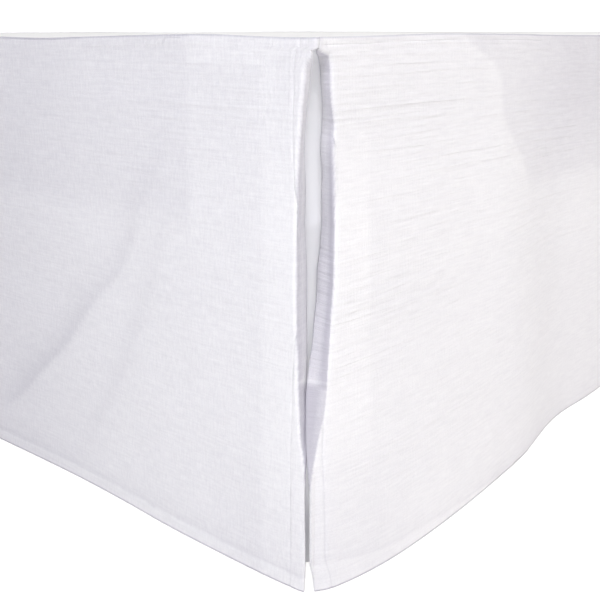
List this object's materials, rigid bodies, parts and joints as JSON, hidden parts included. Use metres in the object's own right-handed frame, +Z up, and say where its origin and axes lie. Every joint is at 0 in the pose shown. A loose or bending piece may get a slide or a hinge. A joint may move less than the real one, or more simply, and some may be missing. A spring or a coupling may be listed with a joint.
{
  "type": "bed skirt on a bed base",
  "caption": "Tailored bed skirt with flat panels split at the foot corners, an insert behind each split and a deck, on a plain low bed base.",
  "frame": {"origin": "on the floor under the middle of the bed, at the foot of the central leg", "axes": "+X to the right side of the bed seen from its foot, +Y to the open head end, +Z up"},
  "size_m": [1.5594, 2.0437, 0.3851],
  "materials": {
    "gauze_cotton": "crinkled white cotton gauze, matte",
    "insert_cotton": "smooth plain white cotton, matte",
    "deck_cloth": "plain greyish white cloth, matte",
    "base_cover": "plain woven cover, matte",
    "leg_wood": "stained, satin"
  },
  "bodies": {
    "root": {"panel_foot": "gauze_cotton", "panel_side_right": "gauze_cotton", "panel_side_left": "gauze_cotton", "insert_right": "insert_cotton", "insert_left": "insert_cotton", "deck": "deck_cloth", "foundation": "base_cover", "leg_foot_left": "leg_wood", "leg_foot_centre": "leg_wood", "leg_foot_right": "leg_wood", "leg_middle_left": "leg_wood", "leg_middle_centre": "leg_wood", "leg_middle_right": "leg_wood", "leg_head_left": "leg_wood", "leg_head_centre": "leg_wood", "leg_head_right": "leg_wood"}
  },
  "joints": []
}
